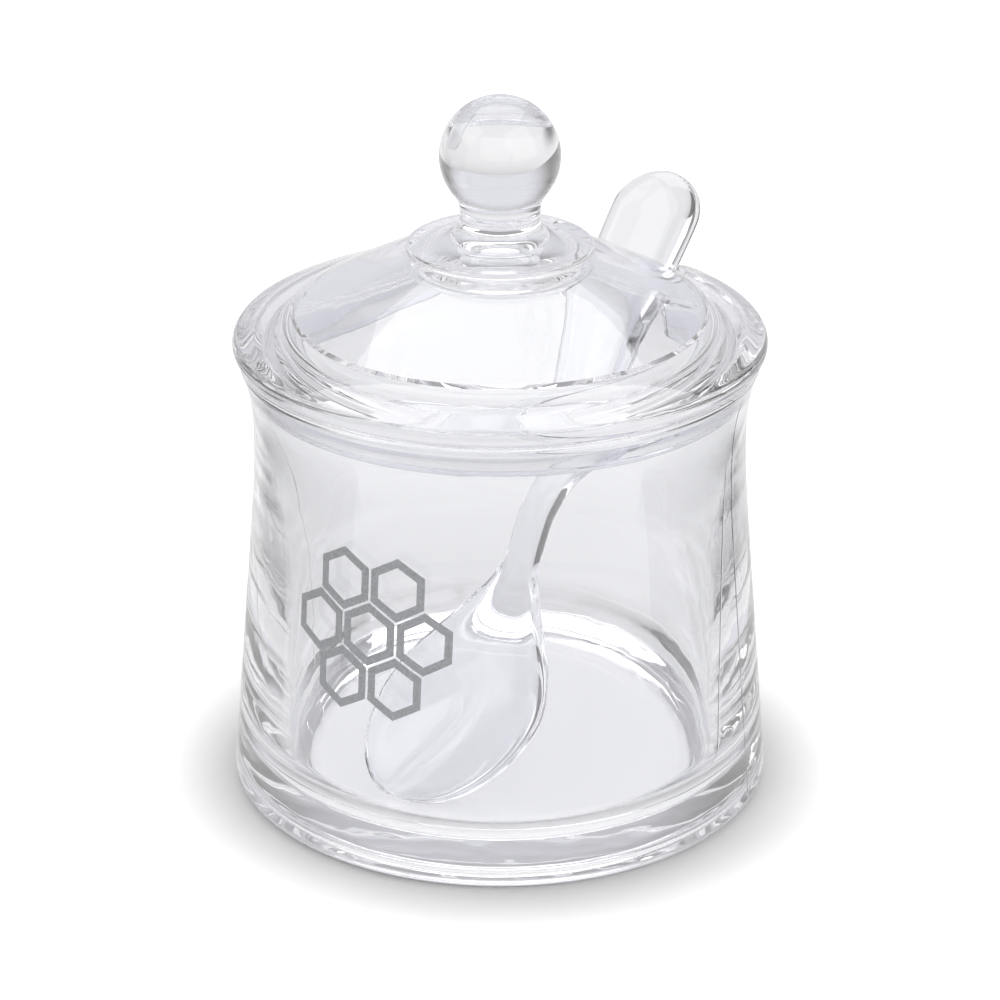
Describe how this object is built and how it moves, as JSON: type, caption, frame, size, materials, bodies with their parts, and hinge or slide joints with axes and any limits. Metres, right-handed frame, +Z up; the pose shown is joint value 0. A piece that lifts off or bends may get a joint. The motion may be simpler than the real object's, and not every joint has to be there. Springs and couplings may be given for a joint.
{
  "type": "honey dish",
  "caption": "Clear pressed-glass honey dish: a waisted jar with a thick base, a domed lid with a ball knob and a rim notch, and a glass spoon leaning out through the notch.",
  "frame": {"origin": "middle of the jar's underside, on the jar's axis, in the plane that the jar stands on", "axes": "+Z up along the jar's axis, +Y from the axis through the spoon notch at the back, +X to the right seen from the front"},
  "size_m": [0.089, 0.0949, 0.1173],
  "materials": {
    "jar_glass": "clear pressed glass, fire polished",
    "lid_glass": "clear pressed glass, fire polished",
    "spoon_glass": "clear pressed glass, fire polished",
    "frosted_mark": "silver-grey matt enamel print on the jar"
  },
  "bodies": {
    "jar": {"jar": "jar_glass"},
    "lid": {"lid": "lid_glass", "lid_knob": "lid_glass"},
    "spoon": {"spoon": "spoon_glass"}
  },
  "joints": [
    {"name": "lid_lift", "type": "slide", "parent": "jar", "child": "lid", "axis": [0, 0, 1], "range_m": [0, 0.08]},
    {"name": "spoon_draw", "type": "slide", "parent": "jar", "child": "spoon", "axis": [0, 0.6717, 0.7408], "range_m": [0, 0.028]}
  ]
}
